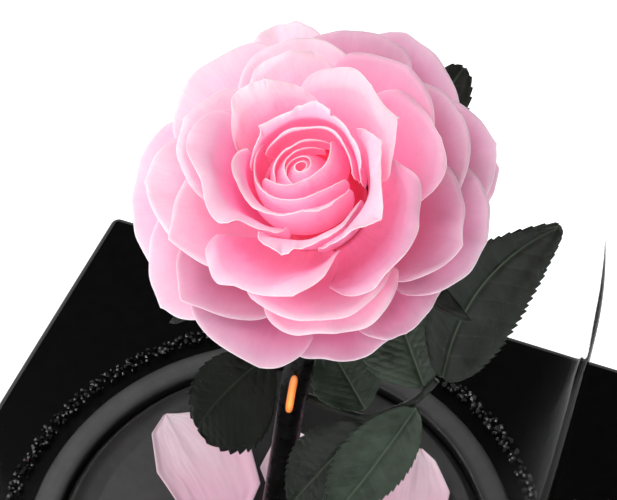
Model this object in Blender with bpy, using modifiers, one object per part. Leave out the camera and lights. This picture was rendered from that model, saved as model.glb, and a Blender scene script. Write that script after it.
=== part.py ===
"""Preserved rose in a glass dome, standing on a square black base.

Metres, +Z up. The origin is the centre of the underside of the base, and the front is -Y.
"""

import math

import bmesh
import bpy
import numpy as np
from mathutils import Euler, Vector

MM = 0.001
GAP = 0.3 * MM

# Square base
BASE_SIDE = 200 * MM
BASE_HEIGHT = 28 * MM
BASE_CORNER = 3 * MM
BASE_EDGE = 2 * MM

# Round parts on the base
TURN_STEPS = 36

# Glass dome
DOME_OUTER = 76.6 * MM
DOME_WALL = 1.8 * MM
DOME_HEIGHT = 215 * MM
DOME_ARC = 6

# Turned parts, as radius and height in millimetres above the top of the base
TRAY_PROFILE = (
    (0.0, 2.0), (54.0, 2.0), (60.6, 4.0), (61.4, 3.8), (61.6, 1.4), (63.3, 1.4), (63.3, 0.3),
    (0.0, 0.3),
)
RING_PROFILE = ((63.8, 4.2), (71.3, 4.2), (72.0, 3.5), (72.0, 0.3), (63.8, 0.3))
BAND_PROFILE = ((77.5, 2.6), (78.2, 3.0), (82.0, 3.0), (82.8, 2.2), (82.8, 0.3), (77.5, 0.3))

# Flower head: where the petals start, and how the head nods towards the front
HEAD_PLACE = (9.5 * MM, 22.4 * MM, 157.9 * MM)
HEAD_TURN = (math.radians(26.5), math.radians(-6.6), math.radians(17.9))
PETAL_THICK = 0.5 * MM

# Heart that carries the petals, as radius and height in millimetres about the axis of the head
HEART_PROFILE = (
    (0.0, 30.2), (7.6, 30.2), (8.6, 29.2), (9.8, 26.8), (10.8, 23.6), (10.6, 9.0), (10.2, 2.0),
    (0.0, 2.0),
)
HEART_STEPS = 20

# Calyx: azimuth and length in millimetres of its five pointed sepals
SEPALS = ((-148, 46), (-92, 36), (-38, 42), (20, 32), (108, 36))
CALYX_THICK = 0.9 * MM
CALYX_HEIGHT = 0.9

# Stem: points of its centre line in millimetres, up to the underside of the calyx
STEM_POINTS = (
    (0.0, 0.0, 30.3), (0.0, 0.0, 40.0), (1.4, 2.6, 55.0), (3.4, 6.2, 80.0), (5.3, 9.8, 105.0),
    (6.8, 15.4, 122.0), (8.1, 22.0, 136.0), (8.9, 26.0, 144.5), (9.21, 25.83, 151.2),
    (9.5, 22.36, 157.98),
)
STEM_RADIUS = 3.6 * MM
COLLAR_PROFILE = ((4.0, 8.0), (5.2, 8.0), (7.6, 3.6), (7.6, 2.3), (4.0, 2.3))
LAMP_RADIUS = 1.0 * MM
LAMP_POINTS = ((5.8, 3.7, 100.0), (6.1, 5.1, 106.0), (6.5, 6.9, 112.5))

# Stalk of the right-hand leaves
STALK_POINTS = (
    (9.4, 8.8, 101.5), (17.0, 7.0, 103.5), (26.2, 5.2, 106.4), (31.5, 6.0, 111.0),
    (38.0, 7.6, 117.6), (41.6, 11.4, 123.0),
)
STALK_RADIUS = 1.1 * MM

# Leaves: name, base, tip, half widths on the left and the right of the midrib, direction that the
# face looks in, arch of the middle towards the face, sideways bow, fold of the two halves in
# degrees, and how broad the outline stays towards the tip from 0 to 1. Lengths are millimetres.
LEAVES = (
    ("left_leaf", (2.0, 2.6, 125.0), (-10.6, -14.8, 110.5), (17, 8.5), (-0.1, -0.3, 0.95), 3, 0, 12, 1),
    ("right_leaf", (43.0, 12.0, 123.7), (61.7, 28.4, 170.0), (9, 11), (0.2, -0.75, 0.6), -2, 5.5, 14, 0),
    ("middle_leaf", (38.8, 10.8, 119.8), (27.2, 23.0, 129.0), (11, 8), (0.1, -0.5, 0.85), 1, 0, 10, 1),
    ("behind_leaf", (25.0, 7.4, 107.1), (10.8, 19.3, 111.0), (9, 8), (0.1, -0.3, 0.9), 1, 0, 12, 0),
    ("lower_right_leaf", (38.5, 6.0, 116.7), (24.4, -12.6, 86.0), (7, 10), (0.3, -0.6, 0.6), 2, 0, 12, 0),
    ("lower_leaf", (26.2, 3.6, 104.9), (10.8, -8.6, 76.0), (9, 9), (-0.1, -0.6, 0.6), 2, 0, 14, 0),
    ("back_leaf", (11.9, 29.4, 147.0), (28.8, 60.0, 178.5), (8, 9), (0.2, -0.6, 0.75), -2, 0, 12, 1),
)
LEAF_THICK = 0.6 * MM

# Where the short stalk of a leaf leaves the stem, in millimetres
LEAF_ROOTS = {"left_leaf": (5.7, 13.4, 127.5)}

# Petals lying on the tray, in the same terms as the leaves
FALLEN = (
    ("fallen_petal_1", (-10.0, -4.0, 31.6), (-46.5, 28.5, 33.5), (11, 18), (-0.1, 0.1, 1), 5, 0, 8, 1),
    ("fallen_petal_2", (7.0, 12.0, 31.2), (-7.0, 38.0, 31.6), (12, 9), (0, 0, 1), 2, 0, 8, 1),
    ("fallen_petal_3", (36.0, 10.0, 31.2), (30.0, 48.5, 32.8), (10, 12), (0, 0, 1), 3, 0, 10, 0),
)
LEAF_ACROSS = 4
LEAF_ALONG = 4

# Petal layers, in millimetres about the axis of the head. A layer is named by about the radius
# that its rim reaches. Each row gives, for one layer, the radius and height of its foot on the
# heart, those of its rim, the directions in degrees in which it leaves the heart and meets its
# rim, and how long it keeps each of the two directions as a share of its length.
LAYER_ROWS = (
    (2, 4.6, 31.2, 1.6, 43.6, 92, 118, 0.35, 0.30),
    (4, 6.2, 31.2, 3.4, 43.9, 90, 120, 0.35, 0.30),
    (6, 7.7, 31.0, 5.3, 44.1, 88, 118, 0.36, 0.32),
    (8, 9.2, 30.6, 7.4, 44.2, 85, 114, 0.37, 0.34),
    (10, 10.5, 28.6, 9.6, 44.0, 80, 106, 0.38, 0.36),
    (12, 11.6, 25.5, 12.0, 43.4, 72, 96, 0.42, 0.38),
    (16, 11.7, 22.0, 16.0, 42.2, 60, 78, 0.44, 0.40),
    (20, 11.7, 19.0, 20.0, 40.2, 50, 66, 0.44, 0.40),
    (24, 11.7, 16.2, 23.8, 37.6, 42, 55, 0.44, 0.40),
    (30, 11.7, 12.0, 29.4, 32.6, 30, 41, 0.42, 0.38),
    (36, 11.5, 8.0, 34.9, 26.4, 18, 26, 0.40, 0.36),
    (40, 11.3, 5.3, 38.6, 22.0, 10, 14, 0.39, 0.35),
    (45, 11.0, 2.4, 42.8, 16.4, 2, 0, 0.38, 0.34),
)

# Petals: name, azimuth and half width in degrees, layer at the middle, change of layer from the
# middle to the left edge, bow of both edges, how far the tip reaches as a share of the layer,
# fall of the rim at the sides, how pointed the tip is, and where it sits across the petal.
PETALS = (
    ("bud_petal_1", 250, 165, 2.0, 0.5, 0.0, 1.00, 0.10, 0.2, 0.0),
    ("bud_petal_2", 147, 98, 3.9, -0.4, 0.0, 1.00, 0.12, 0.3, 0.2),
    ("bud_petal_3", 126, 82, 5.6, -0.6, 0.0, 1.00, 0.12, 0.3, -0.2),
    ("bud_petal_4", 298, 104, 3.9, 0.0, 3.4, 0.96, -0.05, 0.4, 0.0),
    ("bud_petal_5", 244, 102, 8.5, -1.0, 0.6, 1.00, 0.14, 0.2, 0.0),
    ("bud_petal_6", 72, 82, 8.8, -0.4, 0.0, 1.00, 0.12, 0.1, 0.0),
    ("bud_petal_7", 262, 74, 10.7, -1.0, 0.4, 1.00, 0.20, 0.3, 0.2),
    ("bud_petal_8", 62, 76, 10.9, -0.3, 0.0, 1.00, 0.24, 0.1, -0.3),
    ("inner_petal_1", 338, 60, 14.8, -2.0, 0.5, 1.00, 0.14, 0.2, 0.0),
    ("inner_petal_2", 283, 50, 15.1, -1.4, -0.6, 1.03, 0.16, 0.3, -0.2),
    ("inner_petal_3", 196, 60, 17.4, -5.0, 0.0, 1.00, 0.08, 0.2, -0.2),
    ("inner_petal_4", 116, 41, 17.2, 2.0, 0.0, 1.00, 0.30, 0.2, 0.2),
    ("inner_petal_5", 50, 52, 19.6, 0.8, 0.0, 1.00, 0.35, 0.4, 0.0),
    ("middle_petal_1", 326, 48, 24.6, -3.8, -0.1, 1.00, 0.30, 0.5, -0.35),
    ("middle_petal_2", 250, 44, 25.1, -4.3, -2.2, 1.02, 0.26, 0.6, -0.2),
    ("middle_petal_3", 102, 35, 28.0, 0.0, 0.0, 1.00, 0.45, 0.6, -0.1),
    ("middle_petal_4", 23, 39, 28.5, 0.0, 0.0, 1.00, 0.40, 0.5, -0.2),
    ("middle_petal_5", 273, 42, 30.4, 0.5, 0.0, 0.96, 0.30, 0.3, 0.0),
    ("middle_petal_6", 152, 36, 30.5, 0.0, 0.0, 1.00, 0.45, 0.3, 0.0),
    ("middle_petal_7", 279, 38, 33.4, 0.0, 0.0, 0.99, 0.30, 0.3, 0.0),
    ("middle_petal_8", 50, 38, 32.3, 0.0, 0.0, 1.00, 0.40, 0.2, 0.0),
    ("middle_petal_9", 192, 42, 33.0, -1.0, 0.0, 1.00, 0.60, 0.8, 0.2),
    ("outer_petal_1", 345, 38, 34.5, 0.0, 0.0, 1.03, 0.42, 0.8, -0.25),
    ("outer_petal_2", 98, 37, 35.0, 0.0, 0.0, 0.98, 0.40, 0.2, 0.0),
    ("outer_petal_3", 25, 38, 36.5, 0.0, 0.0, 0.99, 0.35, 0.3, 0.0),
    ("outer_petal_4", 176, 30, 36.9, -0.5, 0.0, 1.02, 0.35, 0.2, 0.0),
    ("outer_petal_5", 223, 36, 37.8, -1.8, 0.0, 1.01, 0.45, 0.9, -0.1),
    ("outer_petal_6", 341, 33, 38.5, 0.0, 0.0, 1.03, 0.30, 0.3, 0.0),
    ("outer_petal_7", 309, 25, 40.4, 0.0, 0.0, 0.92, 0.22, 0.5, -0.3),
    ("outer_petal_8", 238, 31, 39.8, 0.0, 0.0, 1.04, 0.25, 0.5, 0.45),
    ("outer_petal_9", 76, 27, 40.0, 0.0, 0.0, 0.98, 0.22, 0.2, -0.4),
    ("outer_petal_10", 130, 34, 41.2, -0.8, 0.0, 1.01, 0.30, 0.2, 0.0),
    ("outer_petal_11", 17, 31, 41.2, 0.0, 0.0, 1.02, 0.30, 0.7, -0.1),
    ("outer_petal_12", 204, 28, 41.8, 0.0, 0.0, 1.05, 0.30, 0.7, 0.4),
    ("outer_petal_13", 281, 30, 42.6, 0.0, 0.0, 0.87, 0.22, 0.3, 0.0),
    ("outer_petal_14", 102, 17, 43.4, 0.0, 0.0, 1.01, 0.20, 0.3, 0.0),
    ("outer_petal_15", 52, 28, 43.7, 0.0, 0.0, 1.02, 0.25, 0.7, 0.35),
    ("outer_petal_16", 177, 34, 43.8, 0.0, 0.0, 1.00, 0.14, 0.3, 0.0),
    ("outer_petal_17", 6, 17, 43.6, 0.0, 0.0, 0.95, 0.22, 0.6, 0.1),
)
ALONG = 4


def layer_value(layer, column):
    """One value of a layer, blended so that neighbouring layers change smoothly."""
    radii = [row[0] for row in LAYER_ROWS]
    values = [row[column] for row in LAYER_ROWS]
    near = [layer + shift for shift in (-1.0, -0.5, 0.0, 0.5, 1.0)]
    return float(np.mean(np.interp(near, radii, values)))


def layer_point(layer, share):
    """Radius and height in millimetres at a share of the way from the heart to the rim."""
    foot = Vector((layer_value(layer, 1), layer_value(layer, 2)))
    rim = Vector((layer_value(layer, 3), layer_value(layer, 4)))
    length = (rim - foot).length
    leave = math.radians(layer_value(layer, 5))
    arrive = math.radians(layer_value(layer, 6))
    first = foot + Vector((math.cos(leave), math.sin(leave))) * length * layer_value(layer, 7)
    second = rim - Vector((math.cos(arrive), math.sin(arrive))) * length * layer_value(layer, 8)
    rest = 1.0 - share
    return (
        rest**3 * foot
        + 3 * rest**2 * share * first
        + 3 * rest * share**2 * second
        + share**3 * rim
    )


def smooth_step(value):
    value = min(max(value, 0.0), 1.0)
    return value * value * (3.0 - 2.0 * value)


def petal_point(row, across, along):
    """A point of a petal, with across from -1 to 1 and along from 0 at the foot to 1 at the rim."""
    name, azimuth, half, layer, lean, bow, reach, fall, point, tip = row
    flank = 1.0 - tip if across > tip else 1.0 + tip
    side = (across - tip) / flank
    rounded = 1.0 - math.sqrt(max(1.0 - side * side, 0.0))
    rim_share = reach - fall * (point * abs(side) ** 1.2 + (1.0 - point) * rounded)
    share = along * rim_share
    here = layer + lean * across + bow * across * across
    radius, height = layer_point(here, share)
    claw = float(np.interp(layer, (10, 14, 24, 34), (0.85, 0.75, 0.55, 0.42)))
    width = claw + (1.0 - claw) * smooth_step(share / 0.65)
    angle = math.radians(azimuth + half * width * across)
    return Vector((radius * math.cos(angle), radius * math.sin(angle), height)) * MM


def material(name, color, roughness, metallic=0.0, **extra):
    made = bpy.data.materials.new(name)
    made.use_nodes = True
    shader = made.node_tree.nodes["Principled BSDF"]
    shader.inputs["Base Color"].default_value = (*color, 1.0)
    shader.inputs["Roughness"].default_value = roughness
    shader.inputs["Metallic"].default_value = metallic
    for key, value in extra.items():
        shader.inputs[key.replace("_", " ")].default_value = value
    return made


def add_object(name, mesh, look, collection, parent=None):
    made = bpy.data.objects.new(name, mesh)
    made.parent = parent
    made.data.materials.append(look)
    collection.objects.link(made)
    return made


def sheet_mesh(name, columns, rows, place):
    """A grid bent into a sheet, triangulated so that both faces of the solid match."""
    work = bmesh.new()
    bmesh.ops.create_grid(work, x_segments=columns, y_segments=rows, size=1.0)
    for vertex in work.verts:
        vertex.co = place(vertex.co.x, (vertex.co.y + 1.0) / 2.0)
    bmesh.ops.triangulate(work, faces=work.faces)
    for face in work.faces:
        face.smooth = True
    mesh = bpy.data.meshes.new(name)
    work.to_mesh(mesh)
    work.free()
    return mesh


def thicken(item, thickness):
    solid = item.modifiers.new("Solidify", "SOLIDIFY")
    solid.thickness = thickness
    solid.offset = 0.0


def add_petal(row, look, collection, head):
    half = row[2]
    columns = 10 if half > 90 else 6 if half > 31 else 5
    mesh = sheet_mesh(row[0], columns, ALONG, lambda u, v: petal_point(row, u, v))
    petal = add_object(row[0], mesh, look, collection, head)
    thicken(petal, PETAL_THICK)
    return petal


def turned(name, profile, look, collection, parent=None, steps=TURN_STEPS):
    """A closed profile of radius and height, turned about the vertical axis."""
    mesh = bpy.data.meshes.new(name)
    points = [(radius, 0.0, height) for radius, height in profile]
    edges = [(i, i + 1) for i in range(len(points) - 1)]
    if profile[0][0] > 0.0:
        edges.append((len(points) - 1, 0))
    mesh.from_pydata(points, edges, [])
    made = add_object(name, mesh, look, collection, parent)
    screw = made.modifiers.new("Screw", "SCREW")
    screw.steps = steps
    screw.render_steps = steps
    screw.use_merge_vertices = True
    screw.merge_threshold = 0.00001
    screw.use_smooth_shade = True
    return made


def calyx_point(angle, share):
    """A point of the calyx, a flat star with five pointed arms that sag towards their tips."""
    reach = 10.0
    for azimuth, length in SEPALS:
        off = (math.degrees(angle) - azimuth + 180.0) % 360.0 - 180.0
        arm = max(1.0 - abs(off) / 24.0, 0.0)
        reach = max(reach, 10.0 + (length - 10.0) * arm**1.6)
    radius = reach * share
    height = CALYX_HEIGHT - 0.00035 * max(radius - 8.0, 0.0) ** 2 * 8.0
    return Vector((radius * math.cos(angle), radius * math.sin(angle), height)) * MM


def calyx_mesh(name, steps=30, rings=3):
    work = bmesh.new()
    bmesh.ops.create_circle(work, cap_ends=True, cap_tris=True, segments=steps, radius=1.0)
    spokes = [edge for edge in work.edges if min(v.co.length for v in edge.verts) < 0.5]
    bmesh.ops.subdivide_edges(work, edges=spokes, cuts=rings - 1)
    for vertex in work.verts:
        angle = math.atan2(vertex.co.y, vertex.co.x)
        vertex.co = calyx_point(angle, vertex.co.length)
    bmesh.ops.triangulate(work, faces=work.faces)
    mesh = bpy.data.meshes.new(name)
    work.to_mesh(mesh)
    work.free()
    return mesh


def leaf_point(row, across, along):
    """A point of a leaf or of a fallen petal, from its base to its tip."""
    name, base, tip, halves, face, arch, bow, fold, broad = row
    base = Vector(base)
    run = Vector(tip) - base
    ahead = run.normalized()
    face = Vector(face)
    normal = (face - ahead * face.dot(ahead)).normalized()
    sideways = ahead.cross(normal)
    middle = 4.0 * along * (1.0 - along)
    centre = base + run * along + normal * arch * middle - sideways * bow * middle
    half = halves[0] if across < 0.0 else halves[1]
    outline = max(math.sin(math.pi * along ** (0.8 + 0.25 * broad)), 0.0)
    width = half * outline ** (0.75 - 0.2 * broad) + 0.5
    lift = math.radians(fold)
    out = sideways * across * math.cos(lift) + normal * abs(across) * math.sin(lift)
    return (centre + out * width) * MM


def leaf_mesh(row):
    """A leaf as a sheet. Its first row is the foot of its own short stalk where it has one."""
    root = LEAF_ROOTS.get(row[0])
    if root is None:
        return sheet_mesh(row[0], LEAF_ACROSS, LEAF_ALONG, lambda u, v: leaf_point(row, u, v))
    to_root = Vector(root) * MM - leaf_point(row, 0.0, 0.0)

    def place(across, along):
        beyond = (along * (LEAF_ALONG + 1) - 1.0) / LEAF_ALONG
        shift = to_root if beyond < -0.5 / LEAF_ALONG else Vector()
        return leaf_point(row, across, max(beyond, 0.0)) + shift

    return sheet_mesh(row[0], LEAF_ACROSS, LEAF_ALONG + 1, place)


def tube(name, points, radius, look, collection, sides=2):
    """A round bar along a line of points given in millimetres, with closed ends."""
    curve = bpy.data.curves.new(name, "CURVE")
    curve.dimensions = "3D"
    curve.bevel_depth = radius
    curve.bevel_resolution = sides
    curve.use_fill_caps = True
    spline = curve.splines.new("POLY")
    spline.points.add(len(points) - 1)
    for target, place in zip(spline.points, points):
        target.co = (*(Vector(place) * MM), 1.0)
    spline.use_smooth = True
    return add_object(name, curve, look, collection)


def scaled(profile, lift=0.0):
    return [(radius * MM, height * MM + lift) for radius, height in profile]


def base_mesh(name):
    work = bmesh.new()
    bmesh.ops.create_cube(work, size=1.0)
    for vertex in work.verts:
        vertex.co.x *= BASE_SIDE
        vertex.co.y *= BASE_SIDE
        vertex.co.z = (vertex.co.z + 0.5) * BASE_HEIGHT
    upright = [e for e in work.edges if abs(e.verts[0].co.z - e.verts[1].co.z) > BASE_HEIGHT / 2]
    bmesh.ops.bevel(
        work, geom=upright, offset=BASE_CORNER, segments=4, affect="EDGES", profile=0.5
    )
    top = [e for e in work.edges if min(v.co.z for v in e.verts) > BASE_HEIGHT * 0.99]
    bmesh.ops.bevel(work, geom=top, offset=BASE_EDGE, segments=3, affect="EDGES", profile=0.5)
    mesh = bpy.data.meshes.new(name)
    work.to_mesh(mesh)
    work.free()
    return mesh


def dome_profile():
    """The wall of the dome, from the top down the outside and back up the inside."""
    centre = DOME_HEIGHT - DOME_OUTER
    outer = []
    inner = []
    for step in range(DOME_ARC + 1):
        angle = math.pi / 2 * (1.0 - step / DOME_ARC)
        outer.append((DOME_OUTER * math.cos(angle), centre + DOME_OUTER * math.sin(angle)))
        radius = DOME_OUTER - DOME_WALL
        inner.append((radius * math.cos(angle), centre + radius * math.sin(angle)))
    outer[0] = (0.0, DOME_HEIGHT)
    inner[0] = (0.0, DOME_HEIGHT - DOME_WALL)
    foot = [(DOME_OUTER, GAP), (DOME_OUTER - DOME_WALL, GAP)]
    wall = outer + foot + inner[::-1]
    return [(radius, height + BASE_HEIGHT) for radius, height in wall]


def main():
    for item in list(bpy.data.objects):
        bpy.data.objects.remove(item)
    rose = bpy.data.collections.new("preserved_rose_dome")
    bpy.context.scene.collection.children.link(rose)

    head = bpy.data.objects.new("head_frame", None)
    head.location = HEAD_PLACE
    head.rotation_euler = Euler(HEAD_TURN)
    rose.objects.link(head)

    for row in PETALS:
        petal_look = material(row[0] + "_pink", (0.93, 0.42, 0.58), 0.55)
        add_petal(row, petal_look, rose, head)
    heart_look = material("heart_pink", (0.85, 0.25, 0.38), 0.6)
    turned("flower_heart", scaled(HEART_PROFILE), heart_look, rose, head, HEART_STEPS)
    calyx_look = material("calyx_green", (0.10, 0.14, 0.10), 0.6)
    calyx = add_object("calyx", calyx_mesh("calyx"), calyx_look, rose, head)
    thicken(calyx, CALYX_THICK)

    stem_look = material("stem_black", (0.012, 0.012, 0.012), 0.25)
    tube("stem", STEM_POINTS, STEM_RADIUS, stem_look, rose)
    collar_look = material("collar_black", (0.015, 0.015, 0.015), 0.3)
    turned("stem_collar", scaled(COLLAR_PROFILE, BASE_HEIGHT), collar_look, rose, steps=16)
    lamp_look = material("lamp_amber", (1.0, 0.55, 0.2), 0.3)
    tube("stem_lamp", LAMP_POINTS, LAMP_RADIUS, lamp_look, rose)
    stalk_look = material("stalk_green", (0.06, 0.08, 0.06), 0.55)
    tube("leaf_stalk", STALK_POINTS, STALK_RADIUS, stalk_look, rose, 1)

    for row in LEAVES:
        leaf_look = material(row[0] + "_green", (0.022, 0.038, 0.028), 0.5)
        leaf = add_object(row[0], leaf_mesh(row), leaf_look, rose)
        thicken(leaf, LEAF_THICK)
    for row in FALLEN:
        petal_look = material(row[0] + "_pink", (0.93, 0.45, 0.60), 0.55)
        mesh = sheet_mesh(row[0], LEAF_ACROSS, LEAF_ALONG, lambda u, v: leaf_point(row, u, v))
        petal = add_object(row[0], mesh, petal_look, rose)
        thicken(petal, PETAL_THICK)

    base_look = material("base_black", (0.01, 0.01, 0.01), 0.3)
    add_object("square_base", base_mesh("square_base"), base_look, rose)
    tray_look = material("tray_black", (0.03, 0.03, 0.03), 0.35)
    turned("round_tray", scaled(TRAY_PROFILE, BASE_HEIGHT), tray_look, rose)
    ring_look = material("ring_grey", (0.06, 0.06, 0.06), 0.4)
    turned("light_ring", scaled(RING_PROFILE, BASE_HEIGHT), ring_look, rose)
    band_look = material("sparkle_black", (0.02, 0.02, 0.02), 0.2)
    turned("sparkle_ring", scaled(BAND_PROFILE, BASE_HEIGHT), band_look, rose)
    glass_look = material("dome_glass", (1.0, 1.0, 1.0), 0.02, Transmission_Weight=1.0, IOR=1.45)
    turned("glass_dome", dome_profile(), glass_look, rose)


main()
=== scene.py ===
"""A preserved rose under a glass dome, as it looks, laid over its solids."""

import math

import bmesh
import bpy
import numpy as np
from mathutils import Euler, Matrix, Quaternion, Vector


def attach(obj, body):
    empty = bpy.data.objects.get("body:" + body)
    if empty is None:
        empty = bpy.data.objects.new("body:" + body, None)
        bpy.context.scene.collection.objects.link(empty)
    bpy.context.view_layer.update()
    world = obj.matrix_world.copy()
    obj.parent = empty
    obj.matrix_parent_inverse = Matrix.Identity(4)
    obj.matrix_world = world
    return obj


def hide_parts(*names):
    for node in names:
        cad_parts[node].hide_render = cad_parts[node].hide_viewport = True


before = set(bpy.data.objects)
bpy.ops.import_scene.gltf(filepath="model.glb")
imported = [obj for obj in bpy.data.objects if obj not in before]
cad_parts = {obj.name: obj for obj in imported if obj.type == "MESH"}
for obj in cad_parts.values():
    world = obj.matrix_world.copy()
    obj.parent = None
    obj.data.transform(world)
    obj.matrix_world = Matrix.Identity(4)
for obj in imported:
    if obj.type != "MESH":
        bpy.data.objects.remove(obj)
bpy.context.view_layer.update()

MM = 0.001

# Camera
CAMERA_AZIMUTH = math.radians(22.231)
CAMERA_ELEVATION = math.radians(50.821)
CAMERA_ROLL = math.radians(-0.917)
CAMERA_TARGET = Vector((-31.25, 109.58, 28.0)) * MM
CAMERA_DISTANCE = 509.5 * MM
CAMERA_LENS = 87.52
CAMERA_SENSOR = 36.0
CAMERA_CLIP = (0.01, 20.0)

# Square base
BASE_SIDE = 200 * MM
BASE_HEIGHT = 28 * MM
BASE_CORNER = 3 * MM
BASE_EDGE = 2 * MM

# Glass dome, in millimetres. Its wall ends in a rounded foot, centred this far above the base
DOME_OUTER = 76.6
DOME_WALL = 1.8
DOME_HEIGHT = 215.0
DOME_FOOT = 1.6

# Turned parts, as radius and height in millimetres above the base
TRAY_PROFILE = (
    (0.0, 2.0), (54.0, 2.0), (60.6, 4.0), (61.4, 3.8), (61.6, 1.4), (63.3, 1.4), (63.3, 0.3),
    (0.0, 0.3),
)
RING_PROFILE = ((63.8, 4.2), (72.0, 4.2), (72.0, 0.3), (63.8, 0.3))
COLLAR_PROFILE = ((4.0, 8.0), (5.2, 8.0), (7.6, 3.6), (7.6, 2.3), (4.0, 2.3))

# Painted shade on a turned part: a place and a length in metres, and brightness from 0 to 255 at
# shares of that length. The tray has a painted shadow and reflection of the flower below it and
# is darker out at its rim; the ring has painted shade at both edges, as on a rounded form
TRAY_PAINTED_SHADE = (
    ((10.0 * MM, 46.0 * MM, BASE_HEIGHT), 58.0 * MM, ((0.4, 70), (1.0, 255))),
    ((0.0, 0.0, BASE_HEIGHT), 63.5 * MM, ((0.86, 255), (0.9, 242), (0.93, 166), (0.99, 77))),
)
# Painted shade on the ring: darker at both edges, as on a rounded form
RING_PAINTED_SHADE = (
    (
        (0.0, 0.0, BASE_HEIGHT), 72.0 * MM,
        ((0.885, 70), (0.9, 150), (0.925, 245), (0.965, 255), (0.985, 215), (1.0, 130)),
    ),
)

# Ring of crystals, in millimetres: its inner and outer radius, its rows as radius and count, and
# the least and greatest radius of a crystal and gap below it
CRYSTALS_INNER = 77.5
CRYSTALS_OUTER = 82.8
CRYSTAL_ROWS = ((78.4, 210), (79.6, 220), (80.8, 220), (81.9, 230))
CRYSTAL_SIZES = (0.55, 1.05)
CRYSTAL_GAPS = (0.3, 1.0)
# How far a crystal strays from its row, and along the row as a share of their spacing
CRYSTAL_STRAY = 0.5
CRYSTAL_SHIFT = 0.45
CRYSTAL_SEED = 11
# Painted light: the crystals are painted brightest round this place, in metres, and duller away from it
CRYSTALS_PAINTED_LIGHT = (75.0 * MM, 20.0 * MM, BASE_HEIGHT)

# Flower head
HEAD_PLACE = Vector((9.5, 22.4, 157.9)) * MM
HEAD_TURN = Euler((math.radians(26.5), math.radians(-6.6), math.radians(17.9)))
HEAD = Matrix.Translation(HEAD_PLACE) @ HEAD_TURN.to_matrix().to_4x4()

# Petal layers in millimetres about the axis of the head: name of the layer, radius and height of
# its foot, those of its rim, directions in degrees at foot and rim, and how long it keeps each of
# them. The solids have the same layers, apart from the first, in the middle of the bud
LAYER_ROWS = np.array((
    (0, 2.6, 31.2, 0.3, 43.0, 92, 118, 0.35, 0.30),
    (2, 4.6, 31.2, 1.6, 43.6, 92, 118, 0.35, 0.30),
    (4, 6.2, 31.2, 3.4, 43.9, 90, 120, 0.35, 0.30),
    (6, 7.7, 31.0, 5.3, 44.1, 88, 118, 0.36, 0.32),
    (8, 9.2, 30.6, 7.4, 44.2, 85, 114, 0.37, 0.34),
    (10, 10.5, 28.6, 9.6, 44.0, 80, 106, 0.38, 0.36),
    (12, 11.6, 25.5, 12.0, 43.4, 72, 96, 0.42, 0.38),
    (16, 11.7, 22.0, 16.0, 42.2, 60, 78, 0.44, 0.40),
    (20, 11.7, 19.0, 20.0, 40.2, 50, 66, 0.44, 0.40),
    (24, 11.7, 16.2, 23.8, 37.6, 42, 55, 0.44, 0.40),
    (30, 11.7, 12.0, 29.4, 32.6, 30, 41, 0.42, 0.38),
    (36, 11.5, 8.0, 34.9, 26.4, 18, 26, 0.40, 0.36),
    (40, 11.3, 5.3, 38.6, 22.0, 10, 14, 0.39, 0.35),
    (45, 11.0, 2.4, 42.8, 16.4, 2, 0, 0.38, 0.34),
))

# The whorls of the bud are a little longer across one way: by what share, and which way
BUD_OVAL = 0.13
BUD_OVAL_WAY = math.radians(25.0)

# Shape of the petals, as layers and the values there: how square the ends of the rim are, radius
# in millimetres and turn in radians of the rolled lip, depth of the waves in millimetres, and
# width of the foot as a share of the whole
RIM_SQUARE = ((3, 5, 20, 26), (5.0, 3.0, 3.0, 5.0))
LIP_RADIUS = ((1, 4, 8, 12, 18, 26, 34, 45), (0.3, 0.7, 1.8, 3.2, 3.8, 2.2, 1.0, 0.8))
LIP_TURN = ((1, 8, 12, 24, 34, 45), (0.8, 1.1, 1.7, 1.7, 1.3, 0.9))
WAVE_DEPTH = ((2, 8, 14, 24, 40), (0.1, 0.25, 0.5, 0.7, 1.0))
FOOT_WIDTH = ((10, 14, 24, 34), (0.90, 0.85, 0.80, 0.75))

# Shape of all petals: least radius of a lip in millimetres, drop of the rim at its ends, length
# as a share of the straight line, most room behind a rim in layers, and thickness in millimetres
LEAST_LIP = 0.3
END_DROP = 0.35
PETAL_ARC = 1.08
MOST_ROOM = 6.0
FOOT_THICK = 0.36
RIM_THICK = 0.18

# Points across and along each sheet. Petals from WRAP_HALF degrees of half width are wraps
PETAL_GRID = (61, 51)
WRAP_GRID = (125, 51)
WRAP_HALF = 90
LEAF_GRID = (65, 121)
FALLEN_GRID = (61, 61)

# Seeds, which the number of the petal or leaf is added to
WAVE_SEED = 50
LIP_SEED = 70
CRIMP_SEED = 90
LEAF_SEED = 200
FALLEN_SEED = 300
SHOULDER_SEED = 400

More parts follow.
